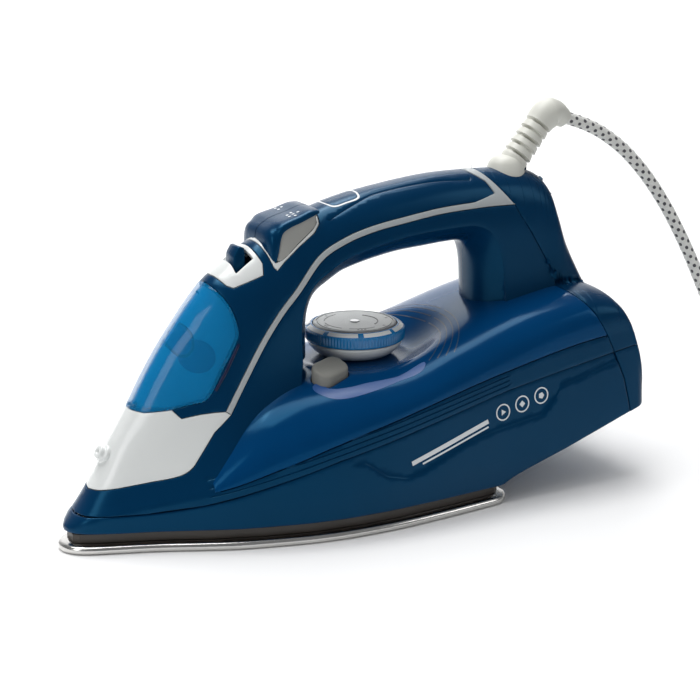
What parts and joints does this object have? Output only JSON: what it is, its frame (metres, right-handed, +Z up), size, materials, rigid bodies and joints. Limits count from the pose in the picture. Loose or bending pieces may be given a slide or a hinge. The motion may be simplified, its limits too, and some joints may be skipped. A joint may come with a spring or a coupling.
{
  "type": "steam iron",
  "caption": "Steam iron with a pointed steel sole, see-through water tank and filler lid, looped handle with two pump buttons, temperature dial, and a coiled mains lead on a swivel.",
  "frame": {"origin": "centre of the bounding box of the iron, without its lead, on the plane its sole rests on", "axes": "+X runs to the heel and the nose points along -X, +Z is up, and the side with the descaling button faces -Y"},
  "size_m": [0.5482, 0.1182, 0.1886],
  "materials": {
    "navy_gloss": "glossy dark blue moulded plastic",
    "navy_soft": "satin dark blue soft-touch plastic",
    "tank_clear": "see-through deep blue plastic",
    "lid_clear": "see-through bright blue plastic",
    "white_gloss": "glossy white plastic",
    "trim_silver": "silver painted trim",
    "button_grey": "matt grey plastic",
    "dial_blue": "satin mid blue plastic",
    "dial_silver": "satin silver disc",
    "stainless": "polished stainless steel",
    "steel": "bright steel",
    "aluminium_cast": "cast aluminium",
    "bakelite": "dark heat-proof plastic",
    "valve_brass": "brass",
    "hose_rubber": "milky silicone rubber",
    "ceramic_block": "white glazed ceramic",
    "inner_white": "plain white plastic",
    "lead_black": "black insulation",
    "cord_braid": "white woven braid with dark flecks",
    "cord_white": "white moulded rubber",
    "nickel": "nickel plated"
  },
  "bodies": {
    "iron": {"soleplate": "stainless", "heater_casting": "aluminium_cast", "heating_element": "steel", "steam_chamber_cover": "aluminium_cast", "thermostat": "valve_brass", "thermal_fuse": "ceramic_block", "steam_valve_seat": "valve_brass", "heat_shield": "bakelite", "lower_skirt": "navy_gloss", "upper_housing": "navy_gloss", "water_tank": "tank_clear", "tank_base": "tank_clear", "nose_cover": "white_gloss", "side_trim": "trim_silver", "front_cover": "navy_gloss", "lid_pin": "steel", "filler_funnel": "tank_clear", "lever_bezel": "white_gloss", "button_cradle": "white_gloss", "spray_pump": "inner_white", "burst_pump": "inner_white", "handle_body": "navy_gloss", "handle_grip": "navy_gloss", "grip_inlay": "navy_soft", "indicator_lens": "navy_gloss", "rear_cover": "navy_gloss", "heel_rest": "navy_soft", "heel_screw": "steel", "dial_base": "white_gloss", "spray_nozzle": "white_gloss", "spray_hose": "hose_rubber", "burst_hose": "hose_rubber", "swivel_socket": "button_grey", "terminal_block": "ceramic_block", "inner_lead": "lead_black", "shield_screw_front": "steel", "shield_screw_left": "steel", "shield_screw_right": "steel"},
    "dial": {"dial_ring": "dial_blue", "dial_cap": "dial_silver", "dial_shaft": "steel"},
    "lever": {"steam_lever": "navy_gloss", "steam_valve_rod": "steel"},
    "spray": {"spray_button": "navy_gloss", "spray_plunger": "inner_white", "spray_spring": "steel"},
    "burst": {"burst_button": "navy_gloss", "burst_plunger": "inner_white", "burst_spring": "steel"},
    "calc": {"calc_button": "button_grey"},
    "lid": {"filler_lid": "lid_clear"},
    "lead": {"cord_swivel": "cord_white", "cord_bushing": "cord_white", "mains_cord": "cord_braid", "cord_coil": "cord_braid", "cord_tie": "lead_black", "plug_body": "cord_white", "plug_pin_left": "nickel", "plug_pin_right": "nickel"}
  },
  "joints": [
    {"name": "dial_turn", "type": "hinge", "parent": "iron", "child": "dial", "pos_m": [0.007, 0, 0.0806], "axis": [0, 0, 1], "range_deg": [0, 270]},
    {"name": "lever_swing", "type": "hinge", "parent": "iron", "child": "lever", "pos_m": [-0.045, 0, 0.112], "axis": [0, 0, 1], "range_deg": [-15, 15]},
    {"name": "spray_press", "type": "slide", "parent": "iron", "child": "spray", "axis": [0, 0, -1], "range_m": [0, 0.003], "stiffness_N_per_m": 400, "springref_m": -0.002, "deforming": ["spray_spring"]},
    {"name": "burst_press", "type": "slide", "parent": "iron", "child": "burst", "axis": [0, 0, -1], "range_m": [0, 0.003], "stiffness_N_per_m": 400, "springref_m": -0.002, "deforming": ["burst_spring"]},
    {"name": "calc_press", "type": "slide", "parent": "iron", "child": "calc", "axis": [0, 0, -1], "range_m": [0, 0.003], "stiffness_N_per_m": 300, "springref_m": -0.002},
    {"name": "lid_open", "type": "hinge", "parent": "iron", "child": "lid", "pos_m": [-0.113, 0, 0.0665], "axis": [0, -1, 0], "range_deg": [0, 75]},
    {"name": "lead_swivel", "type": "hinge", "parent": "iron", "child": "lead", "pos_m": [0.0935, 0, 0.1526], "axis": [0, 0, 1], "range_deg": [-60, 60]}
  ]
}
